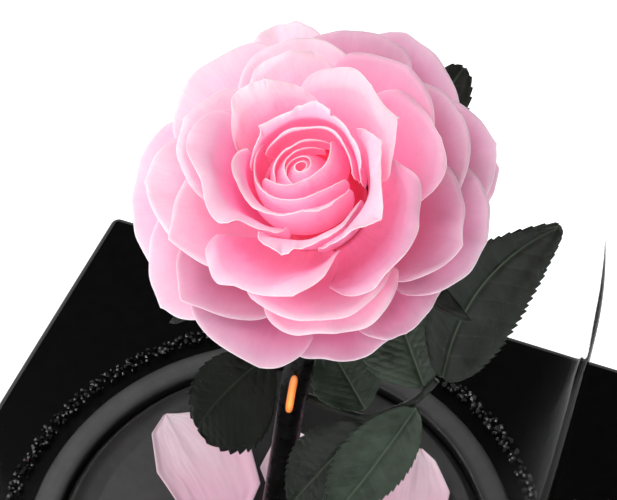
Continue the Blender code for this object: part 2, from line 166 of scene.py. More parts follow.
# Petals: name, azimuth and half width in degrees, layer at the middle, change of layer from the
# middle to the left edge, bow of both edges, reach of the tip, fall of the rim at the sides, how
# pointed the tip is, and where it sits across the petal. All but bud_petal_1, bud_petal_7,
# bud_petal_8, inner_petal_1 and inner_petal_2 are as in the solids
PETALS = (
    ("bud_petal_1", 200, 380, 1.45, 1.4, 0.0, 1.00, 0.10, 0.2, 0.0),
    ("bud_petal_2", 147, 98, 3.9, -0.4, 0.0, 1.00, 0.12, 0.3, 0.2),
    ("bud_petal_3", 126, 82, 5.6, -0.6, 0.0, 1.00, 0.12, 0.3, -0.2),
    ("bud_petal_4", 298, 104, 3.9, 0.0, 3.4, 0.96, -0.05, 0.4, 0.0),
    ("bud_petal_5", 244, 102, 8.5, -1.0, 0.6, 1.00, 0.14, 0.2, 0.0),
    ("bud_petal_6", 72, 82, 8.8, -0.4, 0.0, 1.00, 0.12, 0.1, 0.0),
    ("bud_petal_7", 246, 90, 10.9, -1.0, 0.2, 1.00, 0.20, 0.3, 0.2),
    ("bud_petal_8", 80, 94, 10.7, -0.3, 0.0, 1.00, 0.24, 0.0, -0.3),
    ("inner_petal_1", 338, 60, 14.8, -2.0, 0.5, 1.00, 0.14, 0.0, 0.0),
    ("inner_petal_2", 283, 50, 15.1, -1.4, -0.6, 1.03, 0.16, 0.1, -0.2),
    ("inner_petal_3", 196, 60, 17.4, -5.0, 0.0, 1.00, 0.08, 0.2, -0.2),
    ("inner_petal_4", 116, 41, 17.2, 2.0, 0.0, 1.00, 0.30, 0.2, 0.2),
    ("inner_petal_5", 50, 52, 19.6, 0.8, 0.0, 1.00, 0.35, 0.4, 0.0),
    ("middle_petal_1", 326, 48, 24.6, -3.8, -0.1, 1.00, 0.30, 0.5, -0.35),
    ("middle_petal_2", 250, 44, 25.1, -4.3, -2.2, 1.02, 0.26, 0.6, -0.2),
    ("middle_petal_3", 102, 35, 28.0, 0.0, 0.0, 1.00, 0.45, 0.6, -0.1),
    ("middle_petal_4", 23, 39, 28.5, 0.0, 0.0, 1.00, 0.40, 0.5, -0.2),
    ("middle_petal_5", 273, 42, 30.4, 0.5, 0.0, 0.96, 0.30, 0.3, 0.0),
    ("middle_petal_6", 152, 36, 30.5, 0.0, 0.0, 1.00, 0.45, 0.3, 0.0),
    ("middle_petal_7", 279, 38, 33.4, 0.0, 0.0, 0.99, 0.30, 0.3, 0.0),
    ("middle_petal_8", 50, 38, 32.3, 0.0, 0.0, 1.00, 0.40, 0.2, 0.0),
    ("middle_petal_9", 192, 42, 33.0, -1.0, 0.0, 1.00, 0.60, 0.8, 0.2),
    ("outer_petal_1", 345, 38, 34.5, 0.0, 0.0, 1.03, 0.42, 0.8, -0.25),
    ("outer_petal_2", 98, 37, 35.0, 0.0, 0.0, 0.98, 0.40, 0.2, 0.0),
    ("outer_petal_3", 25, 38, 36.5, 0.0, 0.0, 0.99, 0.35, 0.3, 0.0),
    ("outer_petal_4", 176, 30, 36.9, -0.5, 0.0, 1.02, 0.35, 0.2, 0.0),
    ("outer_petal_5", 223, 36, 37.8, -1.8, 0.0, 1.01, 0.45, 0.9, -0.1),
    ("outer_petal_6", 341, 33, 38.5, 0.0, 0.0, 1.03, 0.30, 0.3, 0.0),
    ("outer_petal_7", 309, 25, 40.4, 0.0, 0.0, 0.92, 0.22, 0.5, -0.3),
    ("outer_petal_8", 238, 31, 39.8, 0.0, 0.0, 1.04, 0.25, 0.5, 0.45),
    ("outer_petal_9", 76, 27, 40.0, 0.0, 0.0, 0.98, 0.22, 0.2, -0.4),
    ("outer_petal_10", 130, 34, 41.2, -0.8, 0.0, 1.01, 0.30, 0.2, 0.0),
    ("outer_petal_11", 17, 31, 41.2, 0.0, 0.0, 1.02, 0.30, 0.7, -0.1),
    ("outer_petal_12", 204, 28, 41.8, 0.0, 0.0, 1.05, 0.30, 0.7, 0.4),
    ("outer_petal_13", 281, 30, 42.6, 0.0, 0.0, 0.87, 0.22, 0.3, 0.0),
    ("outer_petal_14", 102, 17, 43.4, 0.0, 0.0, 1.01, 0.20, 0.3, 0.0),
    ("outer_petal_15", 52, 28, 43.7, 0.0, 0.0, 1.02, 0.25, 0.7, 0.35),
    ("outer_petal_16", 177, 34, 43.8, 0.0, 0.0, 1.00, 0.14, 0.3, 0.0),
    ("outer_petal_17", 6, 17, 43.6, 0.0, 0.0, 0.95, 0.22, 0.6, 0.1),
)

# Leaves and fallen petals: name, base, tip, half widths left and right, direction of the face,
# arch, sideways bow, fold in degrees, and how broad the outline stays. All but fallen_petal_2 and
# fallen_petal_3 are as in the solids
LEAVES = (
    ("left_leaf", (2.0, 2.6, 125.0), (-10.6, -14.8, 110.5), (17, 8.5), (-0.1, -0.3, 0.95), 3, 0, 12, 1),
    ("right_leaf", (43.0, 12.0, 123.7), (61.7, 28.4, 170.0), (9, 11), (0.2, -0.75, 0.6), -2, 5.5, 14, 0),
    ("middle_leaf", (38.8, 10.8, 119.8), (27.2, 23.0, 129.0), (11, 8), (0.1, -0.5, 0.85), 1, 0, 10, 1),
    ("behind_leaf", (25.0, 7.4, 107.1), (10.8, 19.3, 111.0), (9, 8), (0.1, -0.3, 0.9), 1, 0, 12, 0),
    ("lower_right_leaf", (38.5, 6.0, 116.7), (24.4, -12.6, 86.0), (7, 10), (0.3, -0.6, 0.6), 2, 0, 12, 0),
    ("lower_leaf", (26.2, 3.6, 104.9), (10.8, -8.6, 76.0), (9, 9), (-0.1, -0.6, 0.6), 2, 0, 14, 0),
    ("back_leaf", (11.9, 29.4, 147.0), (28.8, 60.0, 178.5), (8, 9), (0.2, -0.6, 0.75), -2, 0, 12, 1),
)
FALLEN = (
    ("fallen_petal_1", (-10.0, -4.0, 31.6), (-46.5, 28.5, 33.5), (11, 18), (-0.1, 0.1, 1), 5, 0, 8, 1),
    ("fallen_petal_2", (7.0, 12.0, 31.2), (-7.0, 38.0, 31.6), (12, 8), (0, 0, 1), 2, 0, 8, 1),
    ("fallen_petal_3", (36.0, 10.0, 31.2), (30.4, 45.5, 32.8), (10, 12), (0, 0, 1), 3, 0, 10, 0),
)

# Where the short stalk of a leaf leaves the stem, and the rows of points along it
LEAF_ROOTS = {"left_leaf": (5.9, 14.0, 127.6)}
ROOT_ROWS = 12
# Leaf blades, in millimetres, and the number of their side veins
LEAF_TOOTH = 2.1
MIDRIB_WIDTH = 0.34
SIDE_VEIN_WIDTH = 0.22
LEAF_THICK = 0.45
SIDE_VEINS = 9.0
# Corners of a fallen petal's outline, and how broad the trough along its middle is
FALLEN_CORNERS = (0.0, 0.25, 0.58, 0.88, 1.0)
FALLEN_SOFT = 0.6

# Stem, stalk and lamp, in millimetres, and how many rings of points each has
STEM_POINTS = (
    (0.0, 0.0, 30.3), (0.0, 0.0, 40.0), (1.4, 2.6, 55.0), (3.4, 6.2, 80.0), (5.3, 9.8, 105.0),
    (6.8, 15.4, 122.0), (8.1, 22.0, 136.0), (8.9, 26.0, 144.5), (9.21, 25.83, 151.2),
    (9.5, 22.36, 157.98),
)
STEM_RADIUS = 3.6
STEM_RINGS = 90
STALK_POINTS = (
    (9.4, 8.8, 101.5), (17.0, 7.0, 103.5), (26.2, 5.2, 106.4), (31.5, 6.0, 111.0),
    (38.0, 7.6, 117.6), (41.6, 11.4, 123.0),
)
STALK_RADIUS = 1.045
STALK_TAPER = (1.15, 0.85)
STALK_RINGS = 60
LAMP_POINTS = ((5.8, 3.7, 100.0), (6.1, 5.1, 106.0), (6.5, 6.9, 112.5))
LAMP_RADIUS = 1.0
LAMP_RINGS = 24

# Calyx: direction in degrees and length in millimetres of each sepal, half the angle that one
# takes up, radius of the disc between them, thickness, and points along and round
SEPALS = ((-148, 46), (-92, 36), (-38, 42), (20, 32), (108, 36))
SEPAL_HALF = 24.0
CALYX_DISC = 10.0
CALYX_THICK = 0.45
CALYX_GRID = (22, 240)

# Petals with a skin of their own, by whorl and number, painted lighter or darker for how the light
# falls: the bud, painted lighter against the shade deep inside the flower; duller and more mauve
# ones, painted shade on petals turned away from the key light; ones that are pale all over,
# painted light on petals that catch it; and ones that stay deep pink up to their rims, painted
# shade of the crevices between petals
SKIN_GROUPS = (
    ("bud_painted_light", "bud", range(1, 9)),
    ("petal_painted_shade", "outer", (1, 3, 5, 6, 7, 8, 9, 11, 13, 15, 17)),
    ("petal_painted_light", "inner", (4, 5)),
    ("petal_painted_light", "middle", (3, 6, 9)),
    ("petal_painted_light", "outer", (2, 4, 10, 14)),
    ("petal_painted_crevice_shade", "middle", (1, 4, 8)),
)

# Petal skins: name, glow, a faint painted red light caught between close petals, and colours from
# 0 to 255 at shares of the way from foot to rim. The thin, paler last step at the rim is a painted
# highlight on the rolled lip
PETAL_SKINS = (
    ("petal_face", 0.05, (
        (0.0, (255, 152, 192)), (0.28, (255, 174, 206)), (0.55, (254, 192, 216)),
        (0.85, (254, 204, 223)), (0.955, (254, 212, 228)), (0.99, (255, 238, 245)),
    )),
    # Painted light: a paler copy with more glow, against the shade deep inside the flower
    ("bud_painted_light", 0.11, (
        (0.0, (255, 150, 186)), (0.5, (255, 172, 202)), (0.85, (255, 200, 222)),
        (1.0, (255, 242, 247)),
    )),
    # Painted shade: a duller, more mauve copy of the petal skin
    ("petal_painted_shade", 0.0, (
        (0.0, (206, 96, 138)), (0.3, (214, 118, 156)), (0.6, (208, 140, 168)),
        (0.85, (212, 166, 186)), (0.955, (222, 182, 198)), (0.99, (248, 222, 232)),
    )),
    # Painted light: a paler copy of the petal skin for petals that catch the light
    ("petal_painted_light", 0.04, (
        (0.0, (255, 160, 200)), (0.28, (255, 188, 215)), (0.55, (254, 208, 227)),
        (0.85, (254, 217, 231)), (0.955, (254, 221, 234)), (0.99, (255, 242, 248)),
    )),
    # Painted shade: deep pink kept up to the rim, for petals lying in crevices
    ("petal_painted_crevice_shade", 0.04, (
        (0.0, (255, 146, 190)), (0.28, (255, 162, 200)), (0.55, (244, 168, 198)),
        (0.85, (232, 172, 196)), (0.955, (236, 184, 204)), (0.99, (252, 228, 238)),
    )),
    ("petal_back", 0.05, (
        (0.0, (255, 140, 188)), (0.4, (255, 164, 202)), (0.8, (254, 192, 216)),
        (1.0, (254, 216, 230)),
    )),
)
WHITE = (1.0, 1.0, 1.0, 1.0)
GLOW_COLOR = (1.0, 0.14, 0.34, 1.0)
GLASS_IOR = 1.008

# Lights, in metres and watts, and the floor
LIGHTS_AIM = (0.0, 0.01, 0.18)
LIGHT_SIZE = 0.8
WORLD_STRENGTH = 0.3
FLOOR_SIZE = 8.0
FLOOR_GLOW = 0.75


def srgb(red, green, blue):
    """A colour given as 0 to 255, as the linear values that shaders take."""
    shares = [value / 255.0 for value in (red, green, blue)]
    linear = [c / 12.92 if c <= 0.04045 else ((c + 0.055) / 1.055) ** 2.4 for c in shares]
    return (*linear, 1.0)


def grey(value):
    """A grey given as 0 to 255."""
    return srgb(value, value, value)


def level(value):
    """A grey given as the linear value of its three channels."""
    return (value, value, value, 1.0)


class Look:
    """A material under construction: its node tree and short calls for the nodes used here."""

    def __init__(self, name, roughness, **values):
        self.material = bpy.data.materials.new(name)
        self.material.use_nodes = True
        self.tree = self.material.node_tree
        self.shader = self.tree.nodes["Principled BSDF"]
        self.shader.inputs["Roughness"].default_value = roughness
        for key, value in values.items():
            self.shader.inputs[key.replace("_", " ")].default_value = value

    def node(self, kind, **inputs):
        made = self.tree.nodes.new(kind)
        for key, value in inputs.items():
            socket = made.inputs[key.replace("_", " ")]
            if isinstance(value, bpy.types.NodeSocket):
                self.tree.links.new(value, socket)
            else:
                socket.default_value = value
        return made

    def link(self, output, socket):
        self.tree.links.new(output, self.shader.inputs[socket])

    def coordinates(self, kind="Object", scale=(1.0, 1.0, 1.0)):
        """Texture coordinates of one kind, scaled along each axis."""
        source = self.tree.nodes.new("ShaderNodeTexCoord").outputs[kind]
        return self.node("ShaderNodeMapping", Vector=source, Scale=scale).outputs["Vector"]

    def noise(self, vector, scale, detail, roughness=0.5):
        settings = {"Scale": scale, "Detail": detail, "Roughness": roughness}
        return self.node("ShaderNodeTexNoise", Vector=vector, **settings).outputs["Fac"]

    def along(self):
        """How far along the piece the surface is, from 0 to 1."""
        source = self.tree.nodes.new("ShaderNodeTexCoord").outputs["UV"]
        return self.node("ShaderNodeSeparateXYZ", Vector=source).outputs["Y"]

    def ramp(self, factor, stops):
        made = self.node("ShaderNodeValToRGB", Fac=factor)
        elements = made.color_ramp.elements
        while len(elements) < len(stops):
            elements.new(0.5)
        for element, (place, color) in zip(elements, stops):
            element.position = place
            element.color = color
        return made.outputs["Color"]

    def distance(self, vector, place, length):
        """Distance of the surface from a place, as a share of a length."""
        far = self.tree.nodes.new("ShaderNodeVectorMath")
        far.operation = "DISTANCE"
        far.inputs[1].default_value = place
        self.tree.links.new(vector, far.inputs[0])
        share = self.node("ShaderNodeMath", Value=far.outputs["Value"])
        share.operation = "DIVIDE"
        share.inputs[1].default_value = length
        return share.outputs["Value"]

    def mix(self, factor, first, second, kind="MIX"):
        made = self.tree.nodes.new("ShaderNodeMix")
        made.data_type = "RGBA"
        made.blend_type = kind
        for index, value in ((0, factor), (6, first), (7, second)):
            if isinstance(value, bpy.types.NodeSocket):
                self.tree.links.new(value, made.inputs[index])
            else:
                made.inputs[index].default_value = value
        return made.outputs[2]

    def bump(self, height, strength, distance, under=None):
        """Relief of the skin, on top of another relief where one is given."""
        made = self.node("ShaderNodeBump", Strength=strength, Distance=distance, Height=height)
        if under is not None:
            self.tree.links.new(under, made.inputs["Normal"])
        self.link(made.outputs["Normal"], "Normal")


def petal_look(name, stops, veins=0.35, glow=0.0, relief=0.28):
    """Soft petal skin: colour from foot to rim, fine lines along the petal, light shining through.

    glow stands for the red light that stays between close petals."""
    look = Look(
        name, 0.55, Sheen_Weight=0.06, Sheen_Roughness=0.4, Specular_IOR_Level=0.2,
        Subsurface_Weight=0.5, Subsurface_Radius=(1.0, 0.45, 0.6), Subsurface_Scale=2.0 * MM,
        Emission_Color=GLOW_COLOR, Emission_Strength=glow,
    )
    lines = look.noise(look.coordinates("UV", (46.0, 3.0, 1.0)), 1.0, 3.0, 0.6)
    patches = look.noise(look.coordinates(), 90.0, 2.0)
    color = look.ramp(look.along(), stops)
    tone = look.ramp(patches, ((0.3, (0.97, 0.86, 0.91, 1.0)), (0.65, WHITE)))
    color = look.mix(0.55, color, tone, "MULTIPLY")
    streak = look.ramp(lines, ((0.35, (0.98, 0.89, 0.93, 1.0)), (0.6, WHITE)))
    color = look.mix(veins, color, streak, "MULTIPLY")
    look.link(color, "Base Color")
    fine = look.noise(look.coordinates(), 1500.0, 2.0)
    folds = look.noise(look.coordinates("UV", (5.0, 2.2, 1.0)), 1.0, 2.0, 0.4)
    broad = look.node("ShaderNodeBump", Strength=0.6, Distance=1.6 * MM, Height=folds)
    height = look.mix(0.3, lines, fine)
    look.bump(height, relief, 0.25 * MM, broad.outputs["Normal"])
    return look.material


def leaf_look(name, dark, light, vein, gloss=0.18):
    """Preserved leaf: dark skin with pale veins, slightly leathery."""
    look = Look(name, 0.45, Specular_IOR_Level=gloss)
    patches = look.noise(look.coordinates(), 160.0, 4.0, 0.6)
    color = look.ramp(patches, ((0.35, dark), (0.7, light)))
    mask = look.tree.nodes.new("ShaderNodeAttribute")
    mask.attribute_name = "vein"
    color = look.mix(mask.outputs["Fac"], color, vein)
    look.link(color, "Base Color")
    cells = look.node("ShaderNodeTexVoronoi", Scale=1300.0)
    look.tree.links.new(look.coordinates(), cells.inputs["Vector"])
    look.link(look.ramp(patches, ((0.3, level(0.38)), (0.7, level(0.58)))), "Roughness")
    look.bump(cells.outputs["Distance"], 0.35, 0.12 * MM)
    return look.material


def plastic_look(name, color, roughness, gloss=0.3, painted_shades=()):
    """Moulded plastic with a faint grain and uneven sheen.

    Each of the given shades paints shade on it, darker by the distance from a place, as for the tray and
    the ring."""
    look = Look(name, roughness, Specular_IOR_Level=gloss)
    spots = look.noise(look.coordinates(), 240.0, 4.0, 0.6)
    light = tuple(min(c * 1.3 + 0.0005, 1.0) for c in color[:3]) + (1.0,)
    tint = look.ramp(spots, ((0.35, color), (0.75, light)))
    # Painted shade: each entry darkens the colour by the distance from a place
    for place, length, stops in painted_shades:
        share = look.distance(look.coordinates(), place, length)
        painted_dimming = look.ramp(share, [(at, grey(value)) for at, value in stops])
        tint = look.mix(1.0, tint, painted_dimming, "MULTIPLY")
    look.link(tint, "Base Color")
    sheen = ((0.3, level(roughness - 0.06)), (0.7, level(roughness + 0.08)))
    look.link(look.ramp(spots, sheen), "Roughness")
    fine = look.noise(look.coordinates(), 2600.0, 2.0)
    look.bump(fine, 0.06, 0.1 * MM)
    return look.material


def crystal_look():
    """Black glittering crystals, with painted light: duller away from the side of the ring where the
    light catches them.
    """
    look = Look("sparkle_crystal", 0.1, Specular_IOR_Level=0.6, Coat_Weight=0.2)
    spots = look.noise(look.coordinates(), 420.0, 2.0)
    tint = look.ramp(spots, ((0.5, srgb(8, 8, 9)), (0.75, srgb(58, 58, 60))))
    share = look.distance(look.coordinates(), CRYSTALS_PAINTED_LIGHT, BASE_SIDE)
    painted_dimming = look.ramp(share, ((0.3, WHITE), (0.65, grey(70))))
    look.link(look.mix(1.0, tint, painted_dimming, "MULTIPLY"), "Base Color")
    return look.material


def glass_look():
    """Clear glass that hardly reflects, so that the flower shows through it undimmed."""
    look = Look("clear_glass", 0.0, IOR=GLASS_IOR, Transmission_Weight=1.0, Base_Color=WHITE)
    return look.material


def lamp_look():
    """A lit amber bar, darker at its ends and its outline."""
    look = Look("lamp_glow", 0.35, Base_Color=srgb(200, 120, 50), Emission_Strength=1.3)
    ends = look.ramp(look.along(), ((0.0, grey(90)), (0.3, WHITE), (1.0, srgb(150, 120, 110))))
    edge = look.node("ShaderNodeLayerWeight", Blend=0.5).outputs["Facing"]
    stops = (
        (0.0, srgb(255, 216, 168)), (0.2, srgb(255, 166, 84)), (0.5, srgb(214, 92, 28)),
        (1.0, srgb(96, 30, 8)),
    )
    look.link(look.mix(1.0, look.ramp(edge, stops), ends, "MULTIPLY"), "Emission Color")
    return look.material


def mesh_piece(name, vertices, faces, looks, replaced):
    """A smooth piece of the object from vertices and faces."""
    mesh = bpy.data.meshes.new(name)
    mesh.from_pydata(vertices, [], faces)
    piece = bpy.data.objects.new(name, mesh)
    for look in looks:
        mesh.materials.append(look)
    mesh.shade_smooth()
    return placed(piece, replaced)


def placed(piece, replaced):
    """Puts a piece in the scene, in place of the solid that it shows."""
    bpy.context.scene.collection.objects.link(piece)
    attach(piece, "root")
    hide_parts(replaced)
    return piece


def unit(vectors):
    return vectors / np.maximum(np.linalg.norm(vectors, axis=-1, keepdims=True), 1e-12)


def grid_normals(points):
    """Directions square to a grid of points."""
    across = np.gradient(points, axis=1)
    along = np.gradient(points, axis=0)
    return unit(np.cross(across, along))


def grid_faces(rows, columns, start, flip):
    """Quads between the points of a grid."""
    index = np.arange(rows * columns).reshape(rows, columns) + start
    corners = (index[:-1, :-1], index[:-1, 1:], index[1:, 1:], index[1:, :-1])
    faces = np.stack([c.ravel() for c in corners], axis=-1)
    return faces[:, ::-1] if flip else faces


def ring_faces(rings, spokes):
    """Quads between closed rings of points, and the points with the next ones round."""
    index = np.arange(rings * spokes).reshape(rings, spokes)
    after = np.roll(index, -1, axis=1)
    quads = np.stack((index[:-1], index[1:], after[1:], after[:-1]), axis=-1).reshape(-1, 4)
    return quads, index, after


def edge_loop(rows, columns):
    """The grid's outline, once round."""
    index = np.arange(rows * columns).reshape(rows, columns)
    return np.concatenate((index[0, :-1], index[:-1, -1], index[-1, :0:-1], index[:0:-1, 0]))


def set_map(mesh, flat):
    """Gives a mesh its UV map, from a flat place for each vertex."""
    corners = np.empty(len(mesh.loops), dtype=np.int32)
    mesh.loops.foreach_get("vertex_index", corners)
    mesh.uv_layers.new(name="UVMap").data.foreach_set("uv", flat[corners].ravel())


def shell(name, points, thick, looks, flip=False, marks=None):
    """A closed thin piece from a grid of points in metres, thick as given at each point.

    The first look is on the face, the second on the back. marks say where its veins are."""
    rows, columns = points.shape[:2]
    normal = grid_normals(points) * (-1.0 if flip else 1.0)
    offset = normal * thick[..., None] / 2.0
    face = (points + offset).reshape(-1, 3)
    back = (points - offset).reshape(-1, 3)
    count = rows * columns
    loop = edge_loop(rows, columns)
    after = np.roll(loop, -1)
    rim = np.stack((after, loop, loop + count, after + count), axis=-1)
    if flip:
        rim = rim[:, ::-1]
    faces = np.concatenate(
        (grid_faces(rows, columns, 0, flip), grid_faces(rows, columns, count, not flip), rim)
    )
    vertices = np.concatenate((face, back))
    mesh = mesh_piece(name, vertices.tolist(), faces.tolist(), looks, name).data
    across, along = np.meshgrid(np.linspace(0, 1, columns), np.linspace(0, 1, rows))
    set_map(mesh, np.tile(np.stack((across.ravel(), along.ravel()), axis=-1), (2, 1)))
    sides = np.zeros(len(faces), dtype=np.int32)
    quads = (rows - 1) * (columns - 1)
    sides[quads:2 * quads] = min(1, len(looks) - 1)
    mesh.polygons.foreach_set("material_index", sides)
    if marks is not None:
        data = mesh.attributes.new("vein", "FLOAT", "POINT").data
        data.foreach_set("value", np.tile(marks.ravel(), 2).astype(np.float32))


def smooth_step(value):
    """An even rise from 0 to 1, flat at both ends."""
    value = np.clip(value, 0.0, 1.0)
    return value * value * (3.0 - 2.0 * value)


def in_head(points):
    """Places in metres of points in millimetres in the frame of the flower head."""
    turn = np.array(HEAD)
    return points * MM @ turn[:3, :3].T + turn[:3, 3]


def layer_points(layers, shares):
    """Radius and height in millimetres at a share of the way from the heart to the rim."""
    near = layers[..., None] + np.array((-1.0, -0.5, 0.0, 0.5, 1.0))
    columns = [np.interp(near, LAYER_ROWS[:, 0], LAYER_ROWS[:, c]).mean(-1) for c in range(1, 9)]
    foot_r, foot_z, rim_r, rim_z, leave, arrive, first_hold, last_hold = columns
    length = np.hypot(rim_r - foot_r, rim_z - foot_z)
    leave, arrive = np.radians(leave), np.radians(arrive)
    rest = 1.0 - shares
    weights = (rest**3, 3 * rest**2 * shares, 3 * rest * shares**2, shares**3)
    places = []
    for foot, rim, share_of in ((foot_r, rim_r, np.cos), (foot_z, rim_z, np.sin)):
        first = foot + share_of(leave) * length * first_hold
        last = rim - share_of(arrive) * length * last_hold
        places.append(sum(w * p for w, p in zip(weights, (foot, first, last, rim))))
    return places


def ripple(across, along, seed, count, low, high):
    """A sum of seeded waves over a petal, from about -1 to 1."""
    rng = np.random.default_rng(seed)
    total = np.zeros_like(across)
    for _ in range(count):
        turns, drift = rng.uniform(low, high), rng.uniform(-1.0, 1.0)
        phase = rng.uniform(0.0, 2 * math.pi)
        total += np.sin(math.pi * turns * (across + drift * along * 0.4) + phase)
    return total / count


def petal_room(row, across):
    """Free space behind each place of a rim, in layers, up to the next petal outside it."""
    name, azimuth, half, layer, lean, bow = row[:6]
    here = layer + lean * across + bow * across**2
    room = np.full_like(across, MOST_ROOM)
    for other in PETALS:
        if other[0] == name:
            continue
        turn = azimuth + half * across - other[1]
        place = ((turn + 180.0) % 360.0 - 180.0) / other[2]
        there = other[3] + other[4] * place + other[5] * place**2
        ahead = (np.abs(place) <= 1.05) & (there > here + 0.3)
        room = np.where(ahead, np.minimum(room, there - here), room)
    width = max(len(across) // 12, 1)
    padded = np.pad(room, width, mode="edge")
    return np.convolve(padded, np.ones(2 * width + 1) / (2 * width + 1), mode="valid")


def shoulders(across, tip, side, seed):
    """Fall of a rim from its tip to its sides as a few nearly straight runs, seeded per petal."""
    rng = np.random.default_rng(seed + SHOULDER_SEED)
    falls = []
    for _ in range(2):
        places = np.array((0.0, 0.3, 0.62, 0.85, 1.0)) + np.append(rng.uniform(-0.07, 0.07, 4), 0.0)
        drops = np.array((0.0, 0.03, 0.22, 0.52, 1.0)) + np.append(rng.uniform(-0.02, 0.05, 4), 0.0)
        spread = side[..., None] + np.linspace(-0.09, 0.09, 9)
        falls.append(np.interp(np.abs(spread), places, drops).mean(axis=-1))
    return np.where(across > tip, falls[0], falls[1])


def rim_line(row, across, side, seed):
    """How far a petal reaches at each place across it, as a share of its layer's length."""
    layer, reach, fall, point, tip = row[3], *row[6:]
    falls = 0.8 * point * side + (1.0 - 0.8 * point) * shoulders(across, tip, side, seed)
    square = np.interp(layer, *RIM_SQUARE)
    ends = 1.0 - np.maximum(1.0 - side**square, 0.0) ** (1.0 / square)
    return reach - fall * falls - END_DROP * ends + 0.008 * ripple(across, 0, seed, 4, 2.0, 6.0)


def lip_shape(row, across, side, room, seed):
    """Radius in millimetres and turn in radians of the rolled lip at each place across a petal.

    It fills up to half of the room behind it, and turns less at a pointed tip."""
    layer, point = row[3], row[8]
    radius = np.clip(0.5 * room, LEAST_LIP, np.interp(layer, *LIP_RADIUS))
    radius = radius * (1.0 + 0.3 * ripple(across, 0, seed + LIP_SEED, 3, 1, 3))
    upright = 0.55 * min(point / 0.5, 1.0) * (1.0 - smooth_step(side / 0.45))
    upright += 0.55 * smooth_step((layer - 17.0) / 6.0) * (1.0 - smooth_step((1.02 - side) / 0.3))
    return radius, np.interp(layer, *LIP_TURN) * (1.0 - upright)


def rolled(points, past, bend, curl):
    """A petal with its lip rolled outwards, from how far each point lies past the rim."""
    outward = grid_normals(points)
    aside = unit(np.gradient(points, axis=1))
    ahead = unit(np.gradient(points, axis=0))
    edge_way = unit(ahead - aside * np.sum(ahead * aside, axis=-1, keepdims=True))
    past = past * np.sum(ahead * edge_way, axis=-1)
    turn = np.minimum(past / bend, curl)
    straight = np.maximum(past - bend * curl, 0.0)
    out = bend * (1.0 - np.cos(turn)) + straight * np.sin(turn)
    kept = bend * np.sin(turn) + straight * np.cos(turn)
    return points + (outward * out[..., None] - edge_way * (past - kept)[..., None])


def petal_points(row, seed):
    """A fine grid over one petal, in millimetres in the frame of the head.

    The sheet reaches a little past the rim that the solid has, and rolls outwards over it."""
    azimuth, half, layer, lean, bow = row[1:6]
    tip = row[9]
    columns, rows = WRAP_GRID if half >= WRAP_HALF else PETAL_GRID
    along = 1.0 - (1.0 - np.linspace(0.0, 1.0, rows)) ** 1.5
    across, along = np.meshgrid(np.linspace(-1.0, 1.0, columns), along)
    side = np.abs(across - tip) / np.where(across > tip, 1.0 - tip, 1.0 + tip)
    crest = rim_line(row, across, side, seed)
    room = petal_room(row, across[0])
    bend, curl = lip_shape(row, across, side, room, seed)

    radii, heights = layer_points(np.full(2, layer, float), np.array((0.0, 1.0)))
    length = PETAL_ARC * np.hypot(radii[1] - radii[0], heights[1] - heights[0])
    share = along * (crest + bend * curl / length)
    radius, height = layer_points(layer + lean * across + bow * across * across, share)
    foot = np.interp(layer, *FOOT_WIDTH)
    width = foot + (1.0 - foot) * smooth_step(share / 0.65)
    angle = np.radians(azimuth + half * width * across)
    pinch = BUD_OVAL * np.cos(2.0 * (angle - BUD_OVAL_WAY)) * smooth_step((14.0 - radius) / 8.0)
    radius = radius * (1.0 + pinch)
    points = np.stack((radius * np.cos(angle), radius * np.sin(angle), height), axis=-1)

    depth = np.minimum(np.interp(layer, *WAVE_DEPTH), 0.3 * room)
    wave = depth * along**2 * ripple(across, along, seed + WAVE_SEED, 4, 1.0, 3.5)
    points += grid_normals(points) * wave[..., None]
    points = rolled(points, np.maximum(share - crest, 0.0) * length, bend, curl)
    crimp = 0.05 * bend * smooth_step((along - 0.86) / 0.14)
    crimp = crimp * ripple(across, 0, seed + CRIMP_SEED, 5, 12, 26)
    return points + grid_normals(points) * crimp[..., None], along


def add_petals():
    """All petals of the flower, each in the skin of its group."""
    skins = {}
    for name, glow, colors in PETAL_SKINS:
        stops = [(at, srgb(*color)) for at, color in colors]
        skins[name] = petal_look(name, stops, glow=glow)
    own = {}
    for skin, whorl, numbers in SKIN_GROUPS:
        own.update({f"{whorl}_petal_{number}": (skins[skin],) * 2 for number in numbers})
    for seed, row in enumerate(PETALS):
        points, along = petal_points(row, seed)
        thick = (FOOT_THICK + (RIM_THICK - FOOT_THICK) * along**2) * MM
        looks = own.get(row[0], (skins["petal_face"], skins["petal_back"]))
        shell(row[0], in_head(points), thick, looks, flip=True)


def leaf_grid(row, columns, rows, soft=0.0):
    """The sheet of a leaf or fallen petal in millimetres, as its middle line and the way out.

    The fold along the middle is a crease, or a trough as broad as soft gives."""
    base, tip, halves, face, arch, bow, fold, broad = row[1:]
    base, tip, face = (np.array(v, float) for v in (base, tip, face))
    across, along = np.meshgrid(np.linspace(-1, 1, columns), np.linspace(0, 1, rows))
    run = tip - base
    ahead = unit(run)
    normal = unit(face - ahead * (face @ ahead))
    sideways = np.cross(ahead, normal)
    middle = 4.0 * along * (1.0 - along)
    half = np.where(across < 0.0, halves[0], halves[1])
    outline = np.maximum(np.sin(np.pi * along ** (0.8 + 0.25 * broad)), 0.0)
    width = half * outline ** (0.75 - 0.2 * broad) + 0.5
    lift = math.radians(fold)
    centre = (
        base + run * along[..., None] + normal * (arch * middle)[..., None]
        - sideways * (bow * middle)[..., None]
    )
    out = (
        sideways * (across * math.cos(lift))[..., None]
        + normal * ((np.sqrt(across**2 + soft**2) - soft) * math.sin(lift))[..., None]
    )
    return across, along, centre, out, width, ahead, normal, float(np.linalg.norm(run))


